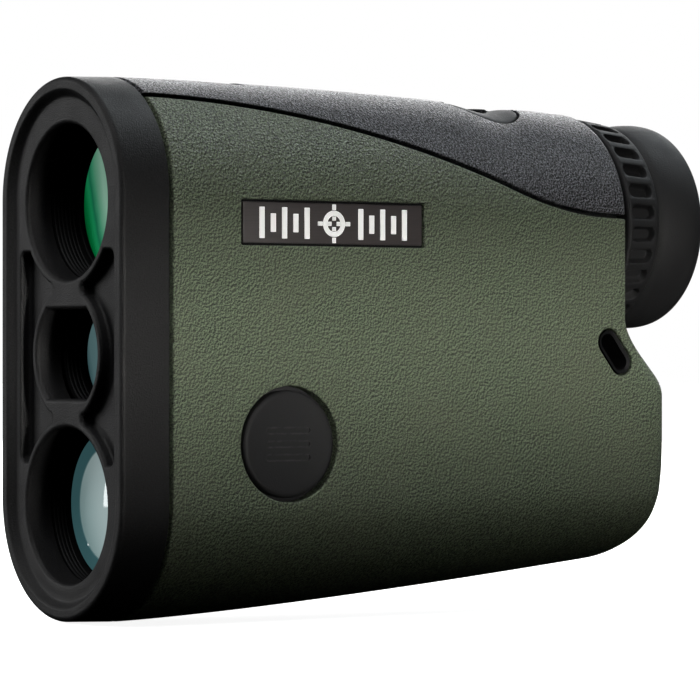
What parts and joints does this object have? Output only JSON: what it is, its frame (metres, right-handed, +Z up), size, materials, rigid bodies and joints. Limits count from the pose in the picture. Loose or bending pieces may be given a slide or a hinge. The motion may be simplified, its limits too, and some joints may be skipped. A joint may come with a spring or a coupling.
{
  "type": "laser rangefinder",
  "caption": "Pocket laser rangefinder: tall rounded body with stacked front lenses, black top cover and a ribbed dioptre eyepiece.",
  "frame": {"origin": "on the plane of symmetry at mid-length, at the level of the lowest point of the body, where a hand cradles it", "axes": "+Z up as held, lens end towards -Y, eyepiece towards +Y, +X the user's left side with the round button"},
  "size_m": [0.034, 0.1042, 0.077],
  "materials": {
    "green_shell": "matt pebble-grained dark green plastic",
    "black_cover": "coarse sparkling grain, charcoal black",
    "black_bezel": "satin black with a fine spark-eroded grain",
    "rubber": "matt black soft rubber",
    "badge_plate": "satin brown-grey plate",
    "anodised": "black anodised",
    "coated_glass": "green anti-reflection coating",
    "clear_glass": "blue-grey anti-reflection coating",
    "circuit_board": "green solder mask",
    "steel": "plain steel",
    "gold": "gold plated",
    "grey_plastic": "glass-filled moulding",
    "polyimide": "amber flexible circuit",
    "cell_wrap": "plain wrapped cell"
  },
  "bodies": {
    "housing": {"left_shell": "green_shell", "right_shell": "green_shell", "top_cover": "black_cover", "front_bezel": "black_bezel", "front_seal": "rubber", "lanyard_tunnel": "rubber", "left_badge": "badge_plate", "right_badge": "badge_plate", "lens_carrier": "anodised", "objective_barrel": "anodised", "objective_ring": "anodised", "emitter_barrel": "anodised", "receiver_barrel": "anodised", "eyepiece_sleeve": "anodised", "objective_lens": "coated_glass", "emitter_lens": "clear_glass", "receiver_lens": "clear_glass", "front_prism": "clear_glass", "roof_prism": "clear_glass", "display_glass": "clear_glass", "main_board": "circuit_board", "switch_board": "circuit_board", "emitter_board": "circuit_board", "detector_board": "circuit_board", "carrier_screw_1": "steel", "carrier_screw_2": "steel", "carrier_screw_3": "steel", "carrier_screw_4": "steel", "shell_screw_left": "steel", "shell_screw_right": "steel", "menu_switch": "steel", "measure_switch": "steel", "contact_spring": "steel", "laser_diode": "gold", "detector_can": "gold", "contact_plate": "gold", "optical_bench": "grey_plastic", "prism_cell": "grey_plastic", "display_frame": "grey_plastic", "battery_tube": "grey_plastic", "flex_cable": "polyimide", "battery": "cell_wrap"},
    "eyepiece_cell": {"eye_lens_cell": "anodised", "field_lens": "clear_glass", "eye_lens": "coated_glass"},
    "eyecup_ring": {"diopter_ring": "rubber", "eyecup": "rubber"},
    "measure_key": {"measure_button": "rubber", "measure_plunger": "grey_plastic"},
    "menu_key": {"menu_button": "rubber", "menu_plunger": "grey_plastic"},
    "cap_thread": {"cap_seal": "rubber"},
    "cap": {"battery_cap": "black_bezel", "cap_contact": "gold"}
  },
  "joints": [
    {"name": "measure_press", "type": "slide", "parent": "housing", "child": "measure_key", "axis": [0, 0, -1], "range_m": [0, 0.0008], "stiffness_N_per_m": 1500},
    {"name": "menu_press", "type": "slide", "parent": "housing", "child": "menu_key", "axis": [-1, 0, 0], "range_m": [0, 0.0006], "stiffness_N_per_m": 1800},
    {"name": "diopter_travel", "type": "slide", "parent": "housing", "child": "eyepiece_cell", "axis": [0, 1, 0], "range_m": [-0.0006, 0.0006]},
    {"name": "diopter_turn", "type": "hinge", "parent": "eyepiece_cell", "child": "eyecup_ring", "pos_m": [0, 0.04, 0.0574], "axis": [0, 1, 0], "range_deg": [-90, 90]},
    {"name": "cap_travel", "type": "slide", "parent": "housing", "child": "cap_thread", "axis": [0, 1, 0], "range_m": [0, 0.0035]},
    {"name": "cap_turn", "type": "hinge", "parent": "cap_thread", "child": "cap", "pos_m": [0, 0.044, 0.0244], "axis": [0, 1, 0], "range_deg": [0, 1260]}
  ],
  "couplings": [
    {"joint": "diopter_travel", "follows": "diopter_turn", "m_per_rad": 0.00038},
    {"joint": "cap_travel", "follows": "cap_turn", "m_per_rad": 0.000159}
  ]
}
